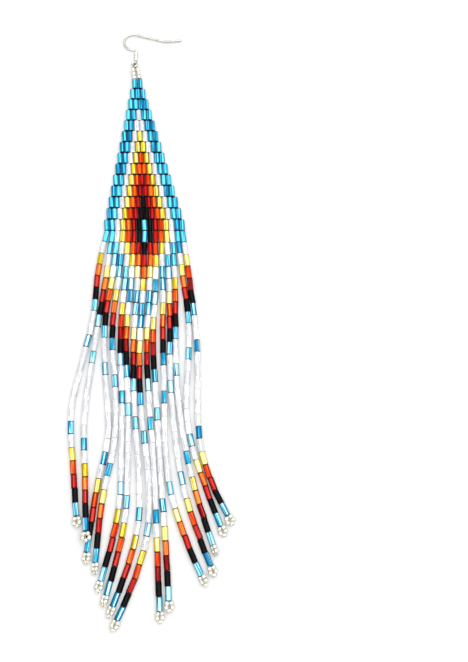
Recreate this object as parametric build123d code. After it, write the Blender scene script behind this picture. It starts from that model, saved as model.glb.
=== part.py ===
from build123d import *
from collections import namedtuple
from math import asin, cos, pi, radians, sin, tan
import os

# Beaded dangle earring, laid flat: a French ear hook, a loop of seed beads, a brick-stitched
# triangle of bugle beads and a fringe of 15 strands of the same beads.
# Millimetres. +Y runs from the fringe's tips to the hook, +X to the right as seen from above,
# +Z up. The earring rests on z = 0, and the origin is under the middle of its box.

# Bugle beads, which are cut glass tubes
bead_d = 1.88            # outer diameter
bead_len = 4.25          # length of the tube
bore_d = 0.8             # thread hole
side_gap = 0.12          # clearance between neighbours in a row of the panel
joint_gap = 0.35         # play between two beads of a strand

# Thread
core_d = 0.4             # bundle of passes inside a bore
bridge_d = 0.16          # single pass between two rows
thread_clear = 0.032     # clearance between a bridge and the bead ends beside it
face_clear = 0.05        # clearance between pieces that meet end to end

# Panel
row_lean = 4.25          # degrees that the beads lean, so each row lies right of the one above
# colour band of a bead, counted from the nearer end of its row
bands = ["blue", "blue", "white", "yellow", "orange", "red", "black", "blue"]

# Seed beads, drawn here as the plain tube that a string of them fills
seed_d = 1.6             # diameter
seed_pitch = 1.5         # spacing along the thread on a tip's ring
tip_seeds = 5            # seed beads on each tip
tip_gap = 0.1            # clearance between a strand's last bead and its ring of seeds

# Loop of seed beads between the hook and the panel
leg_seeds = 3            # seed beads on each leg
leg_pitch = 1.65         # their spacing
leg_gap = 0.12           # clearance between the two legs at the eye
loop_lean = 9.6          # degrees that the loop leans to the left
loop_seat = 0.2          # clearance between the legs and the first row
loop_thread_d = 0.25     # the thread where it passes through the eye
eye_gap = 0.5            # distance from the eye's rim to the legs
wrap_share = 0.92        # bend radius of the thread over the rim, as a share of its reach round it

# Ear hook
wire_d = 0.7
eye_r = 0.95             # radius of the eye's centre line
eye_offset = 0.45        # the eye's centre lies this far left of the shank
shank_len = 5.5          # from the level of the eye's centre to the front bend
front_bend_r = 0.8
front_bend = 78.0        # degrees to the left
lead_len = 1.45          # straight from the front bend to the arch
arch_r = 3.5
arch_turn = 183.0        # degrees to the right
back_len = 10.8
tail_bend_r = 8.0
tail_bend = 20.3         # degrees to the left
tail_len = 5.1
tail_round = 0.25        # rounding of the wire's end

# Wound coil round the shank
coil_wire_d = 0.35
coil_clear = 0.05        # clearance between the shank and the coil
coil_turns = 11
coil_seat = 0.2          # distance from the eye's rim to the coil

# Fringe: a row for each strand, from the left edge to the right one.
# A strand hangs under a bead of the last row. It is counted from the middle one, which has
# longest_strand beads, and each step outwards has one bead less. slack is the extra play at
# each joint, tip_lift the height of the last bead above the surface. The route holds the few
# points where the strand bends, across in bead spacings of the row and down in beads.
longest_strand = 30
arc_share = 0.45         # each arc takes this share of the shorter run beside it
Strand = namedtuple("Strand", "name slack tip_lift route")
strand_routes = [
    Strand("strand_l7", 0.00, 0.0,
           [(-8.56, 3.06), (-8.53, 6.96), (-10.64, 11.26), (-12.34, 14.91), (-11.24, 18.95), (-10.24, 22.78)]),
    Strand("strand_l6", 0.00, 1.76,
           [(-6.72, 3.54), (-7.99, 8.08), (-8.96, 11.74), (-9.82, 15.64), (-9.00, 20.09), (-8.42, 23.90)]),
    Strand("strand_l5", 0.10, 0.0,
           [(-5.55, 3.79), (-6.94, 7.73), (-6.32, 11.93), (-4.91, 16.67), (-7.29, 21.07), (-8.15, 25.41)]),
    Strand("strand_l4", 0.05, 0.0,
           [(-4.39, 3.85), (-5.64, 8.12), (-4.42, 12.87), (-3.86, 17.12), (-6.25, 21.64), (-6.67, 26.15)]),
    Strand("strand_l3", 0.10, 0.0,
           [(-3.26, 4.10), (-4.04, 9.06), (-3.14, 13.36), (-2.91, 17.83), (-2.78, 23.08), (-5.66, 27.44)]),
    Strand("strand_l2", 0.10, 0.0,
           [(-2.12, 4.34), (-3.00, 8.88), (-2.04, 13.65), (-1.81, 19.03), (-1.71, 24.01), (-4.69, 28.44)]),
    Strand("strand_l1", 0.10, 0.0,
           [(-0.98, 4.52), (-1.61, 9.28), (-0.94, 14.76), (0.20, 19.37), (0.76, 24.54), (-3.54, 29.23)]),
    Strand("strand_c0", 0.10, 0.0,
           [(0.16, 4.62), (-0.51, 9.95), (0.20, 14.97), (2.05, 19.97), (2.22, 25.37), (-2.74, 30.19)]),
    Strand("strand_r1", 0.10, 0.0,
           [(1.30, 4.48), (0.78, 9.17), (1.54, 14.21), (2.97, 19.74), (3.52, 24.78), (4.29, 29.57)]),
    Strand("strand_r2", 0.15, 0.0,
           [(2.43, 4.22), (1.85, 9.17), (3.06, 14.55), (3.78, 19.10), (4.93, 24.03), (5.77, 28.83)]),
    Strand("strand_r3", 0.10, 0.0,
           [(3.58, 4.09), (3.76, 8.97), (4.27, 13.41), (4.50, 17.94), (6.40, 22.81), (11.10, 27.07)]),
    Strand("strand_r4", 0.15, 0.0,
           [(4.74, 3.99), (4.99, 8.24), (5.27, 12.89), (6.58, 17.97), (8.72, 22.38), (12.65, 26.38)]),
    Strand("strand_r5", 0.05, 0.0,
           [(5.83, 3.60), (6.03, 7.96), (6.31, 12.56), (7.56, 16.54), (9.74, 20.89), (12.99, 24.90)]),
    Strand("strand_r6", 0.00, 0.0,
           [(7.00, 3.46), (8.58, 7.74), (8.40, 11.43), (7.96, 15.31), (10.64, 19.65), (14.30, 23.51)]),
    Strand("strand_r7", 0.05, 0.0,
           [(8.24, 3.55), (9.45, 7.31), (10.24, 11.16), (10.05, 15.55), (11.44, 19.49), (15.44, 22.72)]),
]

# Sizes that follow
rows = len(strand_routes) - 1             # row r has r + 1 beads, the last one for each strand
across = bead_d + side_gap                # spacing of the beads in a row
joint_pitch = bead_len + joint_gap        # spacing of the beads along a strand without slack
lean = radians(row_lean)
bead_rise = bead_len * cos(lean) + bead_d * sin(lean)      # height of a leaning bead
row_pitch = bead_rise + bridge_d + 2 * thread_clear
lie = bead_d / 2                          # height of the bead axes over the surface
seed_lie = seed_d / 2
tip_r = seed_pitch / (2 * sin(pi / tip_seeds))             # centre line of a tip's ring
tip_reach = tip_r * cos(pi / tip_seeds) + seed_lie + tip_gap
wire_r = wire_d / 2
coil_bore_r = wire_r + coil_clear
coil_r = coil_bore_r + coil_wire_d
hook_lie = coil_r                         # the hook lies on its coil


def along(y):
    """x of the panel's middle line at height y; y = 0 is the lower edge of the last row."""
    return -y * tan(lean)


def rod(start, end, d):
    """Round rod from one point to another."""
    axis = Vector(*end) - Vector(*start)
    return extrude(Plane(origin=Vector(*start), z_dir=axis) * Circle(d / 2), amount=axis.length)


# Panel: one drilled tube, copied to every place of the brick stitch, and its thread
bead = Rot(0, 0, row_lean) * Rot(90, 0, 0) * (Cylinder(lie, bead_len) - Cylinder(bore_d / 2, bead_len))
panel = {colour: [] for colour in bands}
cores, bridges = [], []
for row in range(1, rows + 1):
    low, mid, top = [(rows - row + k) * row_pitch for k in (0, 0.5, 1)]
    for place in range(row + 1):
        offset = (place - row / 2) * across
        panel[bands[min(place, row - place)]].append(Pos(along(mid) + offset, mid, lie) * bead)
        cores.append(rod((along(top) + offset, top, lie), (along(low) + offset, low, lie), core_d))
    if row > 1:
        reach = row / 2 * across + core_d / 4
        bridges.append(rod((along(top) - reach, top, lie), (along(top) + reach, top, lie), bridge_d))
panel_thread = cores[0].fuse(*cores[1:], *bridges)


# Fringe
def strand_path(head, route, length):
    """Straight runs joined by tangent arcs, with the last run set so that the path has its length."""
    points = [Vector(*head)] + [Vector(*p) for p in route]
    for _ in range(8):
        runs = [b - a for a, b in zip(points, points[1:])]
        radii, total = [], sum(r.length for r in runs)
        for before, after in zip(runs, runs[1:]):
            half_turn = radians(before.get_angle(after)) / 2
            tangent = arc_share * min(before.length, after.length)
            radii.append(tangent / tan(half_turn))
            total += 2 * (radii[-1] * half_turn - tangent)
        points[-1] += runs[-1].normalized() * (length - total)
    return FilletPolyline(*points, radius=radii), radii


strands = {}
for number, strand in enumerate(strand_routes):
    place = number - rows / 2
    beads = longest_strand - round(abs(place))
    length = beads * (joint_pitch + strand.slack) - joint_gap
    route = [(x * across, -y * joint_pitch, lie) for x, y in strand.route]
    route[-1] = (route[-1][0], route[-1][1], lie + strand.tip_lift)
    # a slanting head has one corner that stands higher than its middle
    first_run = Vector(*route[0]) - Vector(place * across, 0, lie)
    corner_rise = lie * abs(first_run.X) / first_run.length
    path, radii = strand_path((place * across, -face_clear - corner_rise, lie), route, length)
    tube = sweep(Plane(origin=path @ 0, z_dir=path % 0) * Circle(lie), path=path)
    # the ring of seeds lies on the surface, or in line with a lifted strand
    heading, end = path % 1, path @ 1
    side = Vector(0, 0, 1).cross(heading).normalized()
    centre = end + heading * tip_reach
    if not strand.tip_lift:
        centre = Vector(centre.X, centre.Y, seed_lie)
    ring = Plane(origin=centre, x_dir=side, z_dir=heading.cross(side)) * Torus(tip_r, seed_lie)
    strands[strand.name] = tube.fuse(ring)
    print(f"{strand.name}: {beads} beads, length {length:.1f}, radii", [round(r, 1) for r in radii],
          f"volume over section x length {tube.volume / (pi * lie ** 2 * path.length):.4f}")

# Hook, drawn about the eye's centre with the shank along +Y
eye_rim = eye_r + wire_r
shank = Line((eye_offset, eye_r * cos(asin(eye_offset / eye_r))), (eye_offset, shank_len))
stretches = [shank]
for kind, size, turn in [("arc", front_bend_r, front_bend), ("line", lead_len, 0),
                         ("arc", arch_r, -arch_turn), ("line", back_len, 0),
                         ("arc", tail_bend_r, tail_bend), ("line", tail_len, 0)]:
    last = stretches[-1]
    if kind == "arc":
        stretches.append(JernArc(start=last @ 1, tangent=last % 1, radius=size, arc_size=turn))
    else:
        stretches.append(Line(last @ 1, last @ 1 + (last % 1) * size))
tail = stretches[-1]
wire_line = Wire([edge for piece in stretches for edge in piece.edges()])
wire = sweep(Plane(origin=wire_line @ 0, z_dir=wire_line % 0) * Circle(wire_r), path=wire_line)
tail_edge = wire.edges().filter_by(GeomType.CIRCLE).sort_by_distance(tail @ 1)[0]
wire = fillet(tail_edge, tail_round)
hook = wire.fuse(Torus(eye_r, wire_r))

# Coil: turns of fine wire side by side on a thin inner wall
coil_foot = eye_rim + coil_seat
turn_r = coil_wire_d / 2
coil_top = coil_turns * coil_wire_d
half_turns = [CenterArc((coil_bore_r + turn_r, turn_r + k * coil_wire_d), turn_r, -90, 180)
              for k in range(coil_turns)]
inner_wall = Polyline((coil_bore_r + turn_r, coil_top), (coil_bore_r, coil_top),
                      (coil_bore_r, 0), (coil_bore_r + turn_r, 0))
profile = make_face(Wire([*[arc.edge() for arc in half_turns], *inner_wall.edges()]))
coil = Pos(eye_offset, coil_foot, 0) * revolve(profile, Axis.Y)

# Seed loop, drawn from the middle of the first row's upper edge, +Y along the loop.
# The legs stand side by side; their thread goes over the eye's rim, down through it and back.
leg_top = loop_seat + leg_seeds * leg_pitch
eye_up = leg_top + eye_gap + eye_rim                      # from the first row to the eye's centre
top_spread = (seed_d + leg_gap) / 2
thread_r = loop_thread_d / 2
wrap = wire_r + thread_r + face_clear                     # thread's centre line round the eye's wire
rim = eye_up - eye_r
feet = [(side * across / 2, loop_seat, lie) for side in (-1, 1)]
tops = [(-top_spread, leg_top, hook_lie + wrap), (top_spread, leg_top, seed_lie)]
thread_points = [tops[0], (0, rim + wrap, hook_lie + wrap), (0, rim + wrap, hook_lie - wrap),
                 (0, rim - wire_r - thread_r, hook_lie - wrap + face_clear), tops[1]]
bend_radii = [wrap_share * wrap, wrap_share * wrap, loop_thread_d]
thread_line = FilletPolyline(*thread_points, radius=bend_radii)
loop_thread = sweep(Plane(origin=thread_line @ 0, z_dir=thread_line % 0) * Circle(thread_r), path=thread_line)
seed_loop = loop_thread.fuse(*[rod(foot, top, seed_d) for foot, top in zip(feet, tops)])
first_row = Location((along(rows * row_pitch), rows * row_pitch, 0), (0, 0, loop_lean))
eye = first_row * Pos(0, eye_up, hook_lie)
on_eye = Pos(*eye.position)

# Every piece under the name of its node, moved so that the origin is under the box's middle
nodes = {"ear_hook": on_eye * hook, "hook_coil": on_eye * coil, "seed_loop": first_row * seed_loop}
nodes.update({f"panel_{colour}": Compound(beads) for colour, beads in panel.items()})
nodes["panel_thread"] = panel_thread
nodes.update(strands)
box = Compound([solid for shape in nodes.values() for solid in shape.solids()]).bounding_box()
to_origin = Pos(-box.center().X, -box.center().Y, -box.min.Z)

os.makedirs("parts", exist_ok=True)
for name, shape in nodes.items():
    solids = (to_origin * shape).solids()
    export_step(solids[0] if len(solids) == 1 else Compound(solids), f"parts/{name}.step")

straight_mid = tail @ 0 + (tail % 0) * ((tail_len - tail_round) / 2)
print("size", box.size, "moved by", to_origin.position)
print("row pitch", round(row_pitch, 3), "across", across)
print("tail's straight: middle", (to_origin * on_eye).position + straight_mid,
      "direction", tail % 0.5, "radius", wire_r, "length", tail_len - tail_round)
print("hook wire length", round(wire_line.length, 1), "eye centre", (to_origin * eye).position)
print("arch centre", (to_origin * on_eye).position + stretches[3].arc_center, "inner radius", arch_r - wire_r)
print("loop thread radii", [round(r, 2) for r in bend_radii])
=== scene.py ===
# %% [markdown]
# # A long beaded earring
#
# The earring hangs a triangle of brick-stitched bugle beads from a French ear hook, with a fringe
# of fifteen bead strands below it. Here it lies flat on white paper, as in the photograph.
#
# The CAD model holds the sizes and places. It is loaded first, and every piece that follows is put
# where its solid lies. The panel, the strands and the seed loop are made again here, bead by bead.
# The hook, its coil and the panel's thread stay as they are and get a finish.

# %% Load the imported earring
from math import cos, pi, radians, sin, tan
from random import Random

import bmesh
import bpy
from mathutils import Matrix, Vector


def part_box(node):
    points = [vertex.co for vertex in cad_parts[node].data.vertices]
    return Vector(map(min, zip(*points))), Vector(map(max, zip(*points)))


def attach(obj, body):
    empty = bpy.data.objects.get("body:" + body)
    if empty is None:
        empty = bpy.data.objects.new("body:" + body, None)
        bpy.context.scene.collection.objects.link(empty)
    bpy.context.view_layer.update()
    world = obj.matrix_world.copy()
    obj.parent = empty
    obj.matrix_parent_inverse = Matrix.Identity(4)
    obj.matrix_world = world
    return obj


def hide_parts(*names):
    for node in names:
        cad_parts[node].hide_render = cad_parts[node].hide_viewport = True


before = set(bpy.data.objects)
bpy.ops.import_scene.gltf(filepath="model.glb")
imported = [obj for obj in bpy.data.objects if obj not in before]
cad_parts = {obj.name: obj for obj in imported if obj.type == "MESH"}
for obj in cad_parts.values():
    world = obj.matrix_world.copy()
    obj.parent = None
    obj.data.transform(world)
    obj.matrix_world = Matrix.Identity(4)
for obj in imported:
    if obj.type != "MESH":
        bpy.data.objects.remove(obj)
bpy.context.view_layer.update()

# %% [markdown]
# ## Sizes
#
# The driving sizes are those of the solids, named once in metres. The place of the panel is read
# from its thread, which reaches as far right as the middle of the last row's last bead, and as low
# as that row's lower edge. Every bead is counted from the middle of this edge.

# %% Sizes of the panel
mm = 0.001
bead_d = 1.88 * mm           # bugle bead, outer diameter
bead_len = 4.25 * mm
bore_d = 0.8 * mm            # its thread hole
play_d = 0.09 * mm           # the solids leave some play, which the glass here fills
play_len = 0.05 * mm
side_gap = 0.12 * mm         # between neighbours in a row
core_d = 0.4 * mm            # thread bundle inside a bead
row_space = 0.224 * mm       # between two rows, for the thread that bridges them
row_lean = radians(4.25)     # the panel's beads lean a little to the left
rows = 14

bead_r = bead_d / 2
glass_d = bead_d + play_d
glass_len = bead_len + play_len
across = bead_d + side_gap
row_pitch = bead_len * cos(row_lean) + bead_d * sin(row_lean) + row_space

thread_low, thread_high = [Vector(corner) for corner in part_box("panel_thread")]
foot = Vector((thread_high.x - core_d / 2 * cos(row_lean) - rows / 2 * across,
               thread_low.y + core_d / 2 * sin(row_lean), 0))
print("middle of the last row's lower edge, in mm:", [round(c / mm, 3) for c in foot])

# %% [markdown]
# ## Camera
#
# The photograph looks down on the table at about 72 degrees, from a short distance. The earring
# lies well to the left in it, so the camera aims at a point on the table to the right of the fringe.

# %% Camera
camera_lens, sensor_height = 36.25, 24.0       # mm, a lens of 36.6 degrees from top to bottom
camera_tilt = radians(17.5)                    # away from straight down
camera_reach = 360 * mm                        # from the lens to the table in the middle of the view
aim_right, aim_down = 33.14 * mm, 38.77 * mm   # from the panel's foot to the middle of the view
look_at = foot + Vector((aim_right, -aim_down, bead_r))

camera = bpy.data.objects.new("camera", bpy.data.cameras.new("camera"))
camera.data.sensor_fit = "VERTICAL"
camera.data.sensor_height = sensor_height
camera.data.lens = camera_lens
camera.data.clip_start = 10 * mm
camera.location = look_at + camera_reach * Vector((0, -sin(camera_tilt), cos(camera_tilt)))
camera.rotation_euler = (camera_tilt, 0, 0)
bpy.context.collection.objects.link(camera)
bpy.context.scene.camera = camera
print("camera at", [round(c / mm) for c in camera.location], "mm")

# %% [markdown]
# ## Colours and nodes
#
# Colours are written as the sRGB hex values that a picture shows, and one function turns them into
# the linear numbers that shaders read. One more function adds a node with its settings and links.


# %% Helpers for materials
def colour(hex_value):
    """Linear colour of an sRGB hex value."""
    parts = [int(hex_value[i:i + 2], 16) / 255 for i in (1, 3, 5)]
    return (*[c / 12.92 if c <= 0.04045 else ((c + 0.055) / 1.055) ** 2.4 for c in parts], 1.0)


def add_node(tree, kind, sockets=None, **settings):
    """A node with its settings, and with a value or another node's output on each named socket."""
    made = tree.nodes.new(kind)
    for name, value in settings.items():
        setattr(made, name, value)
    for name, value in (sockets or {}).items():
        if isinstance(value, bpy.types.NodeSocket):
            tree.links.new(value, made.inputs[name])
        else:
            made.inputs[name].default_value = value
    return made


def start_material(name):
    """An empty node material and its tree."""
    material = bpy.data.materials.new(name)
    material.use_nodes = True
    material.node_tree.nodes.clear()
    return material, material.node_tree


print("the middle grey #808080 is", round(colour("#808080")[0], 3), "in linear light")

# %% [markdown]
# ## Paper on the table
#
# The earring was photographed on a white sheet, lit so brightly that the sheet is nearly pure white
# and the shadows on it are faint. Plain matt white gives darker shadows. So the sheet is a pale grey
# that also glows a little, as thin paper does on a light table: the glow fills the shadows and
# leaves the glass alone.

# %% Paper
table_r = 6                  # metres, so that its edge lies far behind the earring
floor_mesh = bpy.data.meshes.new("table")
bm = bmesh.new()
bmesh.ops.create_circle(bm, cap_ends=True, radius=table_r, segments=64)
bm.to_mesh(floor_mesh)
bm.free()
floor = bpy.data.objects.new("table", floor_mesh)
bpy.context.collection.objects.link(floor)

white_paper, tree = start_material("white_paper")
shader = add_node(tree, "ShaderNodeBsdfPrincipled",
                  {"Base Color": colour("#C4C4C3"), "Roughness": 0.9, "Specular IOR Level": 0.1,
                   "Emission Color": colour("#FFFFFF"), "Emission Strength": 0.15})
add_node(tree, "ShaderNodeOutputMaterial", {"Surface": shader.outputs[0]})
floor_mesh.materials.append(white_paper)
print("table of", white_paper.name, 2 * table_r, "m across")

# %% [markdown]
# ## Light
#
# A studio for small goods is lit softly from above and all round. The sky does most of it: a
# gradient that is brightest overhead. Two large softboxes draw the long highlights on the glass,
# one from behind on the right and one nearly overhead. With the Standard view transform the white
# of the paper stays clean.

# %% Sky
sky_strength = 0.8
world = bpy.data.worlds.new("studio")
world.use_nodes = True
sky = world.node_tree
sky_direction = add_node(sky, "ShaderNodeSeparateXYZ",
                         {0: add_node(sky, "ShaderNodeTexCoord").outputs["Generated"]})
height = add_node(sky, "ShaderNodeMapRange", {"Value": sky_direction.outputs["Z"]},
                  interpolation_type="SMOOTHSTEP")
sky_colour = add_node(sky, "ShaderNodeMix", {"Factor": height.outputs[0], "A": colour("#CFD0D2"),
                                             "B": colour("#FFFFFF")}, data_type="RGBA")
sky.links.new(sky_colour.outputs["Result"], sky.nodes["Background"].inputs["Color"])
sky.nodes["Background"].inputs["Strength"].default_value = sky_strength
bpy.context.scene.world = world
print("sky strength:", sky_strength)


# %% Softboxes
def softbox(name, place, target, size, power):
    """A square area light that faces a point."""
    light = bpy.data.lights.new(name, "AREA")
    light.shape = "RECTANGLE"
    light.size, light.size_y = size
    light.energy = power
    box = bpy.data.objects.new(name, light)
    box.location = place
    box.rotation_euler = (Vector(target) - Vector(place)).to_track_quat("-Z", "Y").to_euler()
    bpy.context.collection.objects.link(box)
    print(name, size, "m,", power, "W")


softbox("main_softbox", (0.9, 0.55, 1.5), (0, 0, 0), (1.8, 1.8), 16.0)
softbox("front_softbox", (0, -0.12, 0.9), (0, 0, 0), (1.2, 1.2), 8.6)
bpy.context.scene.view_settings.view_transform = "Standard"

# %% [markdown]
# ## Glass of the beads
#
# Most of these beads are silver-lined glass: a cut tube of coloured glass whose bore is coated with
# bright metal. The round glass magnifies its bore until the lining fills the bead nearly from edge
# to edge, so the eye sees coloured foil under clear gloss. A glass shader would need many bounces
# to show that, and an exported model would lose it, so the finish is made as it looks: a half
# metallic coloured surface under a clear coat. Milky white beads spread the light inside them, and
# jet black ones only shine.
#
# The lining has bright and dull patches, other ones in every bead: partly its uneven silver, partly
# painted highlight and reflection. Each vertex knows its place in its own bead in mm, and the bead's
# own number, which moves a noise with a fourth dimension.

# %% Noise of a bead
number_spread = 90.0         # sets the noises of any two beads far apart


def bead_noise(tree, spot, scale, detail, roughness):
    """A bead's own number, and a noise that this number makes different in every bead."""
    number = add_node(tree, "ShaderNodeAttribute", attribute_name="bead_tone").outputs["Fac"]
    apart = add_node(tree, "ShaderNodeMath", {0: number, 1: number_spread}, operation="MULTIPLY")
    noise = add_node(tree, "ShaderNodeTexNoise",
                     {"Vector": spot, "W": apart.outputs[0], "Scale": scale, "Detail": detail,
                      "Roughness": roughness}, noise_dimensions="4D")
    return number, noise.outputs[0]


# %% [markdown]
# Towards the sides of a bead the eye looks past the lining into more glass, which is deeper in
# colour. Layer Weight gives the slant of the wall, but a rod bends light only across its axis: from
# low along a bead the whole wall is slanted, and still its middle stays bright. So the slant is
# taken in the bead's cross-section: |N.V| / sqrt(1 - |axis.V| squared).


# %% Slant in the cross-section
def slant_in_section(tree):
    """1 where the eye looks straight through the wall, 0 at the sides of the bead."""
    axis = add_node(tree, "ShaderNodeAttribute", attribute_name="bead_axis").outputs["Vector"]
    wall = add_node(tree, "ShaderNodeLayerWeight", {"Blend": 0.5}).outputs["Facing"]
    rod = add_node(tree, "ShaderNodeLayerWeight", {"Blend": 0.5, "Normal": axis}).outputs["Facing"]
    # Facing is 1 - |N.V|, so 1 - |axis.V| squared is Facing x (2 - Facing)
    rest = add_node(tree, "ShaderNodeMath", {0: 2.0, 1: rod}, operation="SUBTRACT")
    squared = add_node(tree, "ShaderNodeMath", {0: rest.outputs[0], 1: rod}, operation="MULTIPLY")
    across_view = add_node(tree, "ShaderNodeMath", {0: squared.outputs[0]}, operation="SQRT")
    faced = add_node(tree, "ShaderNodeMath", {0: 1.0, 1: wall}, operation="SUBTRACT")
    in_section = add_node(tree, "ShaderNodeMath", {0: faced.outputs[0], 1: across_view.outputs[0]},
                          operation="DIVIDE")
    return in_section.outputs[0]


# %% [markdown]
# Drawn glass is pulled out lengthwise while it is hot, so its noise is stretched along the bead into
# streaks about 0.5 mm wide. Five layers then lie over the body colour, each with its own share: bright
# glints, which are painted highlights, and dull lines of painted reflection, both partly the uneven
# lining; glints painted paler, as light from the white paper, where beads lie free on it; deeper sides;
# and the dark cut ends that trap the light.

# %% Layers of colour
streaks_per_mm = 2.2         # across the bead
painted_light_share = 0.85             # how much of a glint is painted paler, as light from the paper, where a bead lies free on it
end_zone, end_blend = 0.31, 0.16     # mm of wall that darkens at each end, and of its soft edge
ends_from = glass_len / 2 / mm - end_zone
print("the ends darken from", round(ends_from, 2), "mm off a bead's middle")


def layered_tint(tree, run, body, glint, deep, cut_end, lit_through):
    """Five layers over the body colour, and their streaks, of which run follow in a mm of bead."""
    place = add_node(tree, "ShaderNodeAttribute", attribute_name="bead_place").outputs["Vector"]
    drawn_out = add_node(tree, "ShaderNodeVectorMath",
                         {0: place, 1: (streaks_per_mm, streaks_per_mm, run)}, operation="MULTIPLY")
    number, streaks = bead_noise(tree, drawn_out.outputs[0], scale=1.0, detail=3.0, roughness=0.55)
    # some beads took more silver than others, and the number also carries a painted glint shift: more
    # painted glints on beads that lie free, fewer on the panel's white beads
    silvered = add_node(tree, "ShaderNodeMath", {0: number, 1: 0.1, 2: streaks},
                        operation="MULTIPLY_ADD").outputs[0]
    # bright glints are painted highlights and dull lines are painted reflection, both laid along the
    # streaks and partly the uneven lining
    bright = add_node(tree, "ShaderNodeMapRange",
                      {"Value": silvered, "From Min": 0.555, "From Max": 0.59})
    dull = add_node(tree, "ShaderNodeMapRange",
                    {"Value": silvered, "From Min": 0.54, "From Max": 0.5, "To Max": 0.9})
    # painted light from the paper: where a bead lies free, its glints are painted paler
    lit = add_node(tree, "ShaderNodeAttribute", attribute_name="bead_painted_light")
    painted_from_paper = add_node(tree, "ShaderNodeMath", {0: lit.outputs["Fac"], 1: painted_light_share},
                          operation="MULTIPLY")
    painted_paling = add_node(tree, "ShaderNodeMath", {0: painted_from_paper.outputs[0], 1: bright.outputs[0]},
                     operation="MULTIPLY")
    at_side = add_node(tree, "ShaderNodeMapRange", {"Value": slant_in_section(tree), "From Min": 0.8,
                                                    "From Max": 0.3, "To Max": 0.92})
    along = add_node(tree, "ShaderNodeSeparateXYZ", {0: place})
    from_middle = add_node(tree, "ShaderNodeMath", {0: along.outputs["Z"]}, operation="ABSOLUTE")
    at_end = add_node(tree, "ShaderNodeMapRange",
                      {"Value": from_middle.outputs[0], "From Min": ends_from,
                       "From Max": ends_from + end_blend, "To Max": 0.95})
    tint = colour(body)
    for share, layer in ((bright, glint), (dull, deep), (painted_paling, lit_through), (at_side, deep),
                         (at_end, cut_end)):
        mixed = add_node(tree, "ShaderNodeMix", {"Factor": share.outputs[0], "A": tint,
                                                 "B": colour(layer)}, data_type="RGBA")
        tint = mixed.outputs["Result"]
    return tint, streaks


# %% [markdown]
# The shader under the layers is the same for every colour. How metallic it is says how much of the
# lining shows, and the clear coat is the polished outside of the glass, whose IOR is 1.52. Milky
# glass also lets light wander inside the bead, for about a bead's width.


# %% Drawn glass
def bead_glass(name, metallic, gloss, run=0.05, milky=0.0, **colours):
    """Glass for one colour of bead."""
    material, tree = start_material(name)
    tint, streaks = layered_tint(tree, run, **colours)
    # the drawn wall is not quite even, which breaks up the highlights
    uneven = add_node(tree, "ShaderNodeBump", {"Height": streaks, "Strength": 0.5,
                                               "Distance": 0.05 * mm})
    shader = add_node(tree, "ShaderNodeBsdfPrincipled",
                      {"Base Color": tint, "Normal": uneven.outputs[0],
                       "Metallic": metallic, "Roughness": 0.3, "IOR": 1.52,
                       "Specular IOR Level": 0.05, "Subsurface Weight": milky,
                       "Subsurface Scale": 1.5 * mm, "Subsurface Radius": (1.0, 1.0, 1.0),
                       "Coat Weight": gloss, "Coat Roughness": 0.06, "Coat IOR": 1.52})
    add_node(tree, "ShaderNodeOutputMaterial", {"Surface": shader.outputs[0]})
    return material


# %% Colours of the glass
glass = {
    "blue": bead_glass("silver_lined_glass_blue", body="#10B0DC", glint="#64D8F0", deep="#035C86",
                       cut_end="#022C4C", lit_through="#C4E8E8", metallic=0.5, gloss=0.2),
    # white glass: its deep colour, on the sides and in the dull lines, is lighter than its body:
    # painted light that fills the shade between the strands
    "white": bead_glass("milky_glass_white", body="#A7A9AE", glint="#FFFFFF", deep="#C8CACE",
                        cut_end="#DADCDE", lit_through="#FFFFFF", metallic=0.1, gloss=0.4,
                        run=0.12, milky=0.8),
    "yellow": bead_glass("silver_lined_glass_yellow", body="#F2DE0C", glint="#FFF98A", deep="#A88806",
                         cut_end="#5E4A00", lit_through="#FDF3A6", metallic=0.5, gloss=0.2),
    "orange": bead_glass("silver_lined_glass_orange", body="#EE3A00", glint="#FA6A12", deep="#9C2000",
                         cut_end="#501000", lit_through="#E07C34", metallic=0.5, gloss=0.12),
    "red": bead_glass("silver_lined_glass_red", body="#A60204", glint="#C60C0C", deep="#500003",
                      cut_end="#240002", lit_through="#AA3028", metallic=0.5, gloss=0.12),
    "black": bead_glass("jet_glass_black", body="#050306", glint="#141018", deep="#010102",
                        cut_end="#000000", lit_through="#0A080C", metallic=0.0, gloss=0.02),
}
bead_materials = [*glass.values()]
slot_of = {name: number for number, name in enumerate(glass)}
print("glass:", ", ".join(material.name for material in bead_materials))

# %% [markdown]
# ## One bugle bead
#
# A bugle bead is a short length of cut glass tube. Its wall is drawn as a closed profile, with the
# outer corners broken as tumbling leaves them, and spun round the bore. There are hundreds of
# beads, so each has only a few dozen faces and relies on smooth shading.

# %% Bugle bead
bead_sides = 12
sharp = radians(40)          # an edge that turns more than this stays sharp
rim = 0.06 * mm              # broken edge of the cut ends


def spun_bead(name, outline):
    """A closed outline in X and Z, spun round Z: one bead about the origin."""
    bm = bmesh.new()
    place = bm.verts.layers.float_vector.new("bead_place")
    bm.verts.layers.float.new("bead_tone")
    bm.verts.layers.float.new("bead_painted_light")
    bm.verts.layers.float_vector.new("bead_axis")
    ring = [bm.verts.new((r, 0, z)) for r, z in outline]
    profile = [bm.edges.new((a, b)) for a, b in zip(ring, ring[1:] + ring[:1])]
    bmesh.ops.spin(bm, geom=ring + profile, cent=(0, 0, 0), axis=(0, 0, 1), angle=2 * pi,
                   steps=bead_sides, use_merge=True)
    bmesh.ops.recalc_face_normals(bm, faces=bm.faces)
    for face in bm.faces:
        face.smooth = True
    for edge in bm.edges:
        edge.smooth = edge.calc_face_angle(0) < sharp
    for vert in bm.verts:
        vert[place] = vert.co / mm
    mesh = bpy.data.meshes.new(name)
    bm.to_mesh(mesh)
    bm.free()
    print("faces in one", name, len(mesh.polygons))
    return mesh


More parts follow.
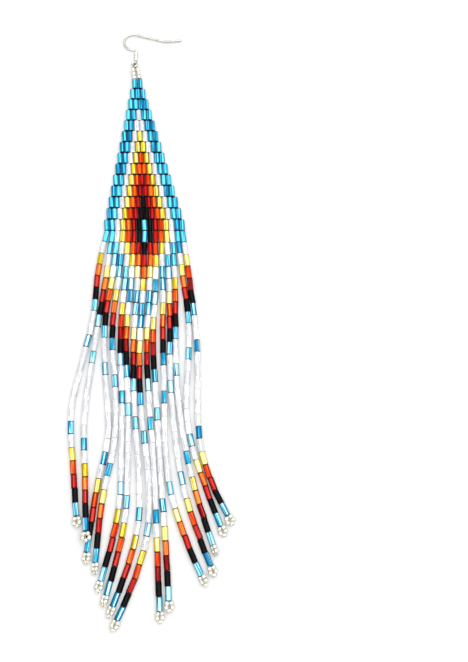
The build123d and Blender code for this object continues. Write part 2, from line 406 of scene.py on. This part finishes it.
wall_r, half = glass_d / 2, glass_len / 2
bugle = spun_bead("bugle", [(bore_d / 2, -half), (wall_r - rim, -half), (wall_r, rim - half),
                            (wall_r, half - rim), (wall_r - rim, half), (bore_d / 2, half)])

# %% [markdown]
# ## Putting beads into a piece
#
# A whole colour band or strand is one mesh. Each bead is a copy of the template, turned about its
# own axis by a random angle, with a random number of its own, so no two look the same. All chance
# comes from one generator with a fixed start, which gives the same earring every time.

# %% A bead in its place
chance = Random(12)


def jitter(amount):
    """A random shift up to these amounts, either way."""
    return Vector([chance.uniform(-a, a) for a in amount])


def add_bead(bm, template, centre, axis, slot, stretch=1.0, girth=1.0, painted_glint_shift=0.0, lit=0.0):
    """A template copy along an axis, with its painted glint shift and painted light from below."""
    old_verts, old_faces = len(bm.verts), len(bm.faces)
    bm.from_mesh(template)
    bm.verts.ensure_lookup_table()
    bm.faces.ensure_lookup_table()
    tone, own_tone = bm.verts.layers.float["bead_tone"], chance.random() + painted_glint_shift
    along, below = bm.verts.layers.float_vector["bead_axis"], bm.verts.layers.float["bead_painted_light"]
    for vert in bm.verts[old_verts:]:
        vert[tone] = own_tone
        vert[below] = lit
        vert[along] = axis.normalized()
    for face in bm.faces[old_faces:]:
        face.material_index = slot
    size = Matrix.Diagonal((girth, girth, stretch, 1))
    roll = Matrix.Rotation(chance.uniform(0, 2 * pi), 4, "Z") @ size
    turn = axis.to_track_quat("Z", "Y").to_matrix().to_4x4()
    bmesh.ops.transform(bm, matrix=Matrix.Translation(centre) @ turn @ roll,
                        verts=bm.verts[old_verts:])


# %% [markdown]
# The finished mesh becomes an object that carries the materials of all beads, so one strand can hold
# every colour. It rides on the earring's one body and stands for the CAD nodes that it hides.


# %% A finished piece
def finish_piece(bm, name, slot, *nodes):
    """Makes the mesh an object that stands for its CAD nodes."""
    mesh = bpy.data.meshes.new(name)
    bm.to_mesh(mesh)
    bm.free()
    for material in bead_materials:
        mesh.materials.append(material)
    piece = bpy.data.objects.new(name, mesh)
    bpy.context.collection.objects.link(piece)
    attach(piece, "root")
    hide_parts(*nodes)
    print(name, "faces:", len(mesh.polygons))


# %% [markdown]
# ## Panel
#
# The panel is brick stitch: row r has r + 1 beads, and each row sits half a bead beside the one
# above. Its colours run in bands, counted from the nearer end of a row, so two short loops place
# all 119 beads. Each slides and turns a little on its thread, as stitched beads do.

# %% Panel
bands = ["blue", "blue", "white", "yellow", "orange", "red", "black", "blue"]
slide = 0.05 * mm            # play along the thread
panel_lift = (0.02, 0.08)    # mm between a bead and the table
panel_slack = (0.006, 0, 0.008)      # how far the unit axis of a bead may turn
white_painted_shade = -0.3          # fewer painted glints on the panel's white beads: painted shade where they lie packed
row_up = Vector((-sin(row_lean), cos(row_lean), 0))

panel = {name: bmesh.new() for name in glass}
for row in range(1, rows + 1):
    height = (rows - row + 0.5) * row_pitch
    for place in range(row + 1):
        band = bands[min(place, row - place)]
        centre = foot + Vector(((place - row / 2) * across - height * tan(row_lean), height,
                                glass_d / 2))
        centre += jitter((0, slide, 0)) + Vector((0, 0, chance.uniform(*panel_lift) * mm))
        add_bead(panel[band], bugle, centre, row_up + jitter(panel_slack), slot_of[band],
                 painted_glint_shift=white_painted_shade if band == "white" else 0)
for name, bm in panel.items():
    finish_piece(bm, f"panel_beads_{name}", f"bead_{name}", f"panel_{name}")

# %% [markdown]
# ## Lines of the fringe
#
# A strand is laid by hand, so its line is a few chosen points, across in bead spacings and down in
# beads, and a smooth curve that has them as its control points. The points are those of the solids.

# %% Routes of the strands
longest_strand = 30
joint_gap = 0.35 * mm        # play between two beads of a strand
joint_pitch = bead_len + joint_gap
strand_routes = dict(
    l7=[(-8.56, 3.06), (-8.53, 6.96), (-10.64, 11.26), (-12.34, 14.91), (-11.24, 18.95),
        (-10.24, 22.78)],
    l6=[(-6.72, 3.54), (-7.99, 8.08), (-8.96, 11.74), (-9.82, 15.64), (-9.00, 20.09), (-8.42, 23.90)],
    l5=[(-5.55, 3.79), (-6.94, 7.73), (-6.32, 11.93), (-4.91, 16.67), (-7.29, 21.07), (-8.15, 25.41)],
    l4=[(-4.39, 3.85), (-5.64, 8.12), (-4.42, 12.87), (-3.86, 17.12), (-6.25, 21.64), (-6.67, 26.15)],
    l3=[(-3.26, 4.10), (-4.04, 9.06), (-3.14, 13.36), (-2.91, 17.83), (-2.78, 23.08), (-5.66, 27.44)],
    l2=[(-2.12, 4.34), (-3.00, 8.88), (-2.04, 13.65), (-1.81, 19.03), (-1.71, 24.01), (-4.69, 28.44)],
    l1=[(-0.98, 4.52), (-1.61, 9.28), (-0.94, 14.76), (0.20, 19.37), (0.76, 24.54), (-3.54, 29.23)],
    c0=[(0.16, 4.62), (-0.51, 9.95), (0.20, 14.97), (2.05, 19.97), (2.22, 25.37), (-2.74, 30.19)],
    r1=[(1.30, 4.48), (0.78, 9.17), (1.54, 14.21), (2.97, 19.74), (3.52, 24.78), (4.29, 29.57)],
    r2=[(2.43, 4.22), (1.85, 9.17), (3.06, 14.55), (3.78, 19.10), (4.93, 24.03), (5.77, 28.83)],
    r3=[(3.58, 4.09), (3.76, 8.97), (4.27, 13.41), (4.50, 17.94), (6.40, 22.81), (11.10, 27.07)],
    r4=[(4.74, 3.99), (4.99, 8.24), (5.27, 12.89), (6.58, 17.97), (8.72, 22.38), (12.65, 26.38)],
    r5=[(5.83, 3.60), (6.03, 7.96), (6.31, 12.56), (7.56, 16.54), (9.74, 20.89), (12.99, 24.90)],
    r6=[(7.00, 3.46), (8.58, 7.74), (8.40, 11.43), (7.96, 15.31), (10.64, 19.65), (14.30, 23.51)],
    r7=[(8.24, 3.55), (9.45, 7.31), (10.24, 11.16), (10.05, 15.55), (11.44, 19.49), (15.44, 22.72)],
)
tip_lift = {"l6": 1.76 * mm}      # this strand's end lies on its neighbour


def strand_points(name, place):
    """Control points of a strand, from its head under a bead of the last row."""
    route = [foot + Vector((x * across, -y * joint_pitch, bead_r)) for x, y in strand_routes[name]]
    route[-1].z = bead_r + tip_lift.get(name, 0)
    head = foot + Vector((place * across, -side_gap, bead_r))
    return [head, *route]


print("strands:", len(strand_routes))

# %% [markdown]
# Blender's own NURBS curve makes the smooth line. Its mesh is read back: as bare points that the
# beads follow, or, with a bevel, as a round thread.

# %% Smooth lines
line_steps, thread_steps = 32, 8     # points between two control points


def smooth_curve(points, radius=0.0):
    """Mesh of a smooth curve that has these control points, as a line or as a round thread."""
    curve = bpy.data.curves.new("line", "CURVE")
    curve.dimensions = "3D"
    spline = curve.splines.new("NURBS")
    spline.points.add(len(points) - 1)
    for control, point in zip(spline.points, points):
        control.co = (*point, 1)
    spline.order_u = 3
    spline.use_endpoint_u = True
    spline.resolution_u = thread_steps if radius else line_steps
    curve.bevel_depth = radius
    curve.bevel_resolution = 1
    carrier = bpy.data.objects.new("line", curve)
    mesh = bpy.data.meshes.new_from_object(carrier)
    bpy.data.objects.remove(carrier)
    bpy.data.curves.remove(curve)
    return mesh


def smooth_line(points):
    """Points along a smooth curve that has these control points."""
    mesh = smooth_curve(points)
    line = [vert.co.copy() for vert in mesh.vertices]
    bpy.data.meshes.remove(mesh)
    return line


middle_line = smooth_line(strand_points("c0", 0))
print("points along the middle strand:", len(middle_line))


# %% Distances along a line
def line_length(line):
    """Length of a line of points."""
    return sum((b - a).length for a, b in zip(line, line[1:]))


def point_at(line, distance):
    """Point at a distance along a line."""
    for a, b in zip(line, line[1:]):
        step = (b - a).length
        if distance <= step:
            return a.lerp(b, distance / step)
        distance -= step
    return b + (b - a).normalized() * distance


print("length of the middle strand, in mm:", round(line_length(middle_line) / mm, 1))

# %% [markdown]
# ## Beads along a strand
#
# Cut tubes are not all of one length, so the colour joints of two strands never quite line up. Each
# strand gets two marks: how many mm higher than evenly spaced beads its middle and its last quarter
# lie. The beads between two marks share the difference.

# %% Places of the joints
raised = dict(l7=(0.6, 0.9), l6=(-0.9, 0.2), l5=(0.7, 1.8), l4=(0.2, 1.5), l3=(-0.2, 1.1),
              l2=(0.1, 1.0), l1=(-0.4, 1.2), c0=(-0.7, 0.8), r1=(-0.2, 0.7), r2=(-1.1, 0.9),
              r3=(-0.2, 0.8), r4=(-0.4, 0.4), r5=(-0.2, 1.1), r6=(0.4, 1.5), r7=(-1.0, 0.5))
middle_mark, low_mark = 14.5, 24.5     # in the colour order, where the beads are numbered


def joint_at(name, number, first, pitch):
    """Distance along a strand to the upper end of the bead with this number in the colour order."""
    marks = [(first, 0), (middle_mark, raised[name][0]), (low_mark, raised[name][1]),
             (longest_strand, 0)]
    for (above, high), (below, low) in zip(marks, marks[1:]):
        if number <= below:
            rise = high + (low - high) * (number - above) / (below - above)
            return (number - first) * pitch - rise * mm


print("marks at beads", middle_mark, "and", low_mark, "of", longest_strand)

# %% [markdown]
# ## Seed beads
#
# Each strand ends in a ring of five seed beads, which are small round beads of silver-lined crystal.
# They are spun as the bugles are, from an oval instead of a cut wall. Their finish is clear glass over
# silver again: the lining shows in pale and warm grey patches, the pale ones partly painted reflection,
# and the sides of a bead, where the eye looks past it, are greyer, partly deeper glass and partly
# painted shade that outlines each seed.

# %% Seed bead
seed_d = 1.6 * mm            # outer diameter
seed_len = 1.38 * mm
seed_hole_r = 0.26 * mm
seed_r = seed_d / 2
seed_wall = (seed_r - seed_hole_r) / 2
oval = [k * pi / 4 for k in range(8)]
seed = spun_bead("seed", [(seed_hole_r + seed_wall * (1 - cos(a)), -seed_len / 2 * sin(a))
                          for a in oval])

# %% Silver-lined crystal
crystal, tree = start_material("silver_lined_crystal_seed")
place = add_node(tree, "ShaderNodeAttribute", attribute_name="bead_place").outputs["Vector"]
# the lining is seen in patches about 0.5 mm across
patches = bead_noise(tree, place, scale=2.0, detail=2.0, roughness=0.5)[1]
# the pale patches are partly the uneven lining, partly painted reflection
lit = add_node(tree, "ShaderNodeMapRange", {"Value": patches, "From Min": 0.44, "From Max": 0.56})
tint = add_node(tree, "ShaderNodeMix", {"Factor": lit.outputs[0], "A": colour("#CAC5B5"),
                                        "B": colour("#F4F2E4")}, data_type="RGBA")
# greyer sides: partly deeper glass, partly painted shade that outlines each seed
slant = add_node(tree, "ShaderNodeLayerWeight", {"Blend": 0.5}).outputs["Facing"]
at_side = add_node(tree, "ShaderNodeMapRange", {"Value": slant, "From Min": 0.35, "From Max": 0.85,
                                                "To Max": 0.55})
tint = add_node(tree, "ShaderNodeMix", {"Factor": at_side.outputs[0], "A": tint.outputs["Result"],
                                        "B": colour("#8A8473")}, data_type="RGBA")
uneven = add_node(tree, "ShaderNodeBump", {"Height": patches, "Strength": 0.5,
                                           "Distance": 0.08 * mm})
shader = add_node(tree, "ShaderNodeBsdfPrincipled",
                  {"Base Color": tint.outputs["Result"], "Normal": uneven.outputs[0],
                   "Metallic": 0.6, "Roughness": 0.25, "Coat Weight": 1.0,
                   "Coat Roughness": 0.03, "Coat IOR": 1.52})
add_node(tree, "ShaderNodeOutputMaterial", {"Surface": shader.outputs[0]})
print("made", crystal.name)

# %% [markdown]
# ## Thread
#
# Beading thread is loosely twisted from two waxed nylon plies, one turn in about 3 mm. They cross the
# thread at a slant, one after the other, with painted shade in the groove where they meet. It is dark
# here, because the joints between the beads and the spot in the hook's eye where the knot lies are dark
# in the photograph.

# %% Thread
nylon, tree = start_material("waxed_nylon_thread")
where = add_node(tree, "ShaderNodeTexCoord")
# diagonal bands are 2 pi / (10 x Scale) apart: 1.6 mm, which is half a turn
plies = add_node(tree, "ShaderNodeTexWave", {"Vector": where.outputs["Object"], "Scale": 0.4 / mm,
                                             "Distortion": 1.0, "Detail": 1.0},
                 bands_direction="DIAGONAL")
# darker bands: painted shade in the groove between the plies
ply_and_groove_shade = add_node(tree, "ShaderNodeMix", {"Factor": plies.outputs["Fac"], "A": colour("#2E2A27"),
                                            "B": colour("#54504A")}, data_type="RGBA")
ply_round = add_node(tree, "ShaderNodeBump", {"Height": plies.outputs["Fac"], "Strength": 0.6,
                                              "Distance": 0.05 * mm})
shader = add_node(tree, "ShaderNodeBsdfPrincipled",
                  {"Base Color": ply_and_groove_shade.outputs["Result"], "Normal": ply_round.outputs[0],
                   "Roughness": 0.5})
add_node(tree, "ShaderNodeOutputMaterial", {"Surface": shader.outputs[0]})
bead_materials += [crystal, nylon]
crystal_slot = bead_materials.index(crystal)
nylon_slot = bead_materials.index(nylon)


def add_thread(bm, points, radius):
    """Thread along a smooth line of control points."""
    mesh = smooth_curve(points, radius)
    old_faces = len(bm.faces)
    bm.from_mesh(mesh)
    bm.faces.ensure_lookup_table()
    for face in bm.faces[old_faces:]:
        face.material_index = nylon_slot
        face.smooth = True
    bpy.data.meshes.remove(mesh)


print("made", nylon.name)

# %% [markdown]
# ## Tips of the strands
#
# At the end of a strand the thread goes through five seed beads and back up, which pulls them into
# a ring. No two rings lie alike: some are round, some are drawn out long by the thread, and most
# are turned a little off the table. A round ring and a long one are described, and each tip lies
# somewhere between them.

# %% Tips
tip_seeds = 5
seed_pitch = 1.5 * mm        # spacing of the seeds round a tip
tip_gap = 0.1 * mm           # between the last bugle and the ring
tip_r = seed_pitch / (2 * sin(pi / tip_seeds))
tip_reach = tip_r * cos(pi / tip_seeds) + seed_r + tip_gap
tip_clear = 0.08 * mm        # between the lowest seed and the table
narrower = 0.3               # how much of its width a ring loses when it is drawn out
seed_slack = (0.12, 0.12, 0.12)        # how far the unit axis of a seed may turn
# how far each ring is drawn out (0 = round, 1 = long) and how many degrees it is turned off the table
tip_lay = dict(l7=(0.3, 20), l6=(0.0, 0), l5=(0.8, 25), l4=(1.0, 45), l3=(0.6, 30),
               l2=(1.0, 40), l1=(1.0, 30), c0=(0.8, 20), r1=(0.7, 25), r2=(0.4, -20),
               r3=(1.0, 35), r4=(0.5, -25), r5=(1.0, 60), r6=(0.6, 20), r7=(0.2, 10))
# places of the seeds across and down in mm, in a ring that is drawn out
long_ring = [(0.8, -1.25), (0.86, 0.17), (0, 1.38), (-0.86, 0.17), (-0.8, -1.25)]


def add_tip(bm, end, heading, name):
    """The five seed beads at a strand's end."""
    drawn, turned = tip_lay[name]
    centre = end + heading * tip_reach
    side = Vector((0, 0, 1)).cross(heading).normalized()
    if name not in tip_lift:
        heading = Vector((heading.x, heading.y, 0)).normalized()
        centre.z = (seed_r + tip_clear
                    + tip_r * (1 - narrower * drawn) * abs(sin(radians(turned))))
    side.rotate(Matrix.Rotation(radians(turned), 3, heading))
    angles = [(number + 0.5) * 2 * pi / tip_seeds for number in range(tip_seeds)]
    round_ring = [(tip_r * sin(angle), -tip_r * cos(angle)) for angle in angles]
    ring = [Vector(a).lerp(Vector(b) * mm, drawn) for a, b in zip(round_ring, long_ring)]
    strand_end = Vector((0, -tip_reach))
    # the thread passes each seed from the one before towards the one after
    for before, seat, after in zip([strand_end, *ring], ring, [*ring[1:], strand_end]):
        through = after - before
        add_bead(bm, seed, centre + side * seat.x + heading * seat.y,
                 (side * through.x + heading * through.y).normalized() + jitter(seed_slack),
                 crystal_slot)


print("a round tip is", round(2 * (tip_r + seed_r) / mm, 2), "mm across")

# %% [markdown]
# ## Fringe
#
# The colours of a strand continue the bands of the panel. The middle strand has thirty bugles, and each
# strand further out starts one colour later. The first beads sit close under the panel. Below them the
# beads lie free on the paper: they look thicker in the photograph, have a little play on their thread,
# and get more painted glints, painted paler as light from the paper.

# %% Fringe
strand_gap = 0.06 * mm       # dark line between two beads of a strand
fringe_girth = 1.1           # of a bead that lies free
free_after = 3               # beads down a strand
fringe_painted_light = 0.1          # a little more painted glint than in the panel: painted light on beads that lie free
strand_lift = (0.02, 0.06)   # mm between a bead and the table
strand_play = (0.06 * mm, 0.05 * mm, 0)
strand_slack = (0.045, 0.03, 0.01)     # how far the unit axis of a bead may turn
fringe_colours = (["blue", "black", "red", "orange", "yellow", "white", "blue", "blue", "white",
                   "yellow", "orange", "red", "black", "blue", "white", "white", "blue"]
                  + ["white"] * 6
                  + ["blue", "white", "yellow", "orange", "red", "black", "blue"])

for place, name in enumerate(strand_routes, -rows // 2):
    first = abs(place)
    points = strand_points(name, place)
    line = smooth_line(points)
    pitch = (line_length(line) + joint_gap) / (longest_strand - first)
    bm = bmesh.new()
    for number in range(first, longest_strand):
        top = joint_at(name, number, first, pitch)
        bottom = joint_at(name, number + 1, first, pitch) - joint_gap
        start, end = point_at(line, top), point_at(line, bottom)
        heading = (end - start).normalized()
        free = min((number - first) / free_after, 1)
        girth = 1 + (fringe_girth - 1) * free
        lift = Vector((0, 0, girth * glass_d / 2 - bead_r + chance.uniform(*strand_lift) * mm))
        lift += jitter(strand_play)
        add_bead(bm, bugle, (start + end) / 2 + lift, heading + jitter(strand_slack),
                 slot_of[fringe_colours[number]], (bottom - top + joint_gap - strand_gap) / glass_len,
                 girth, painted_glint_shift=fringe_painted_light, lit=free)
    add_thread(bm, points, core_d / 2)
    add_tip(bm, line[-1], (line[-1] - line[-2]).normalized(), name)
    finish_piece(bm, f"fringe_{name}", "strand_beads", f"strand_{name}")
    print("  bead pitch, in mm:", round(pitch / mm, 3))

# %% [markdown]
# ## Seed loop
#
# The panel hangs from the hook by a small loop of six seed beads, three up each side. The thread
# passes over the rim of the hook's eye, down through the eye and back under the rim. So the left
# leg rises to the upper side of the wire, and the right one stays low.

# %% Legs of the seed loop
leg_seeds = 3
leg_pitch = 1.65 * mm
leg_gap = 0.12 * mm          # between the two legs at their tops
leg_stretch = 1.2            # the seeds of a leg are longer than those of a tip
leg_slack = (0.0004, 0.0004, 0.0004)   # metres, at the end of a leg of 5 mm
loop_lean = radians(9.6)
loop_seat = 0.2 * mm         # between the first row of bugles and the legs
loop_thread_r = 0.125 * mm
wire_r = 0.35 * mm
wire_lie = 0.75 * mm         # height of the hook's plane

leg_top = loop_seat + leg_seeds * leg_pitch
wrap = wire_r + loop_thread_r + 0.05 * mm      # from the wire's middle to that of the thread
first_row = (Matrix.Translation(foot + Vector((-rows * row_pitch * tan(row_lean), rows * row_pitch, 0)))
             @ Matrix.Rotation(loop_lean, 4, "Z"))
bm = bmesh.new()
legs = []
for side, top_z in ((-1, wire_lie + wrap), (1, seed_r)):
    low = Vector((side * across / 2, loop_seat, bead_r))
    high = Vector((side * (seed_d + leg_gap) / 2, leg_top, top_z))
    legs.append((low, high))
    for k in range(leg_seeds):
        centre = low.lerp(high, (k + 0.5) / leg_seeds)
        add_bead(bm, seed, first_row @ centre, first_row.to_3x3() @ (high - low) + jitter(leg_slack),
                 crystal_slot, leg_stretch)
print("legs of the seed loop rise to", [round(high.y / mm, 2) for low, high in legs], "mm")

# %% [markdown]
# The thread goes up the left leg, round the rim of the eye and down the right leg. A small trefoil of
# the dark thread sits in the eye, where the eye shows a dark spot: a closed form of three loops, drawn
# by sines.

# %% Thread and knot of the seed loop
eye_gap = 0.5 * mm           # from the legs' tops to the rim of the eye
rim_slack = 0.15 * mm        # of the thread where it turns in the eye
knot_up = 0.3 * mm           # from where it would turn without slack to the knot's middle
knot_over = 0.2 * mm         # its height above the hook's plane
knot_size = 0.09 * mm        # a sixth of its width

rim_height = leg_top + eye_gap + wire_r
(low_left, high_left), (low_right, high_right) = legs
over_rim = [(0, rim_height + wrap + rim_slack, wire_lie + wrap),
            (0, rim_height + wrap + rim_slack, wire_lie - wrap),
            (0, rim_height - wire_r - loop_thread_r, wire_lie - wrap)]
way_round = [low_left, high_left, *over_rim, high_right, low_right]
add_thread(bm, [first_row @ Vector(point) for point in way_round], loop_thread_r)

knot = first_row @ Vector((0, rim_height + wrap + knot_up, wire_lie + knot_over))
turns = [2 * pi * k / 15 for k in range(16)]
trefoil = [Vector((sin(t) + 2 * sin(2 * t), cos(t) - 2 * cos(2 * t), -sin(3 * t))) for t in turns]
add_thread(bm, [knot + point * knot_size for point in trefoil], loop_thread_r)
finish_piece(bm, "seed_bead_loop", "seed_crystal", "seed_loop")

# %% [markdown]
# ## Ear hook and coil
#
# The hook is drawn wire, bent round pins, with its eye closed by pliers and a fine wire wound round
# the shank. Their solids have the right shape, so they stay and get the plate: polished silver,
# whose polish left fine marks, with a breath of tarnish in patches. The photograph shows the coil
# brighter than the hook, so each gets its own two greys.


# %% Silver plate
def silver_plate(name, clean, tarnished):
    """Polished plate: fine marks, and patches of tarnish between two greys."""
    material, tree = start_material(name)
    where = add_node(tree, "ShaderNodeTexCoord")
    # Object coordinates are in metres: patches of about 2 mm, polishing marks of about 0.1 mm
    clouds = add_node(tree, "ShaderNodeTexNoise", {"Vector": where.outputs["Object"], "Scale": 0.5 / mm,
                                                   "Detail": 3.0})
    marks = add_node(tree, "ShaderNodeTexNoise", {"Vector": where.outputs["Object"], "Scale": 10 / mm,
                                                  "Detail": 2.0})
    tarnish = add_node(tree, "ShaderNodeMapRange", {"Value": clouds.outputs[0], "From Min": 0.4,
                                                    "From Max": 0.65})
    plate = add_node(tree, "ShaderNodeMix", {"Factor": tarnish.outputs[0], "A": colour(clean),
                                             "B": colour(tarnished)}, data_type="RGBA")
    polish = add_node(tree, "ShaderNodeMapRange",
                      {"Value": marks.outputs[0], "To Min": 0.12, "To Max": 0.3})
    scratches = add_node(tree, "ShaderNodeBump", {"Height": marks.outputs[0], "Strength": 0.3,
                                                  "Distance": 0.01 * mm})
    shader = add_node(tree, "ShaderNodeBsdfPrincipled",
                      {"Base Color": plate.outputs["Result"], "Roughness": polish.outputs[0],
                       "Normal": scratches.outputs[0], "Metallic": 1.0})
    add_node(tree, "ShaderNodeOutputMaterial", {"Surface": shader.outputs[0]})
    return material


def cover(node, material):
    """Gives a node that stays its one material."""
    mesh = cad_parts[node].data
    mesh.materials.clear()
    mesh.materials.append(material)
    print(node, "is covered with", material.name)


# the hook's two greys are painted darker and the coil's lighter: painted shade and painted light on one
# plate
cover("ear_hook", silver_plate("silver_plate_painted_darker", "#D8D6D0", "#BAB6AE"))
cover("hook_coil", silver_plate("silver_plate_painted_lighter", "#F6F5F0", "#DEDBD2"))
cover("panel_thread", nylon)
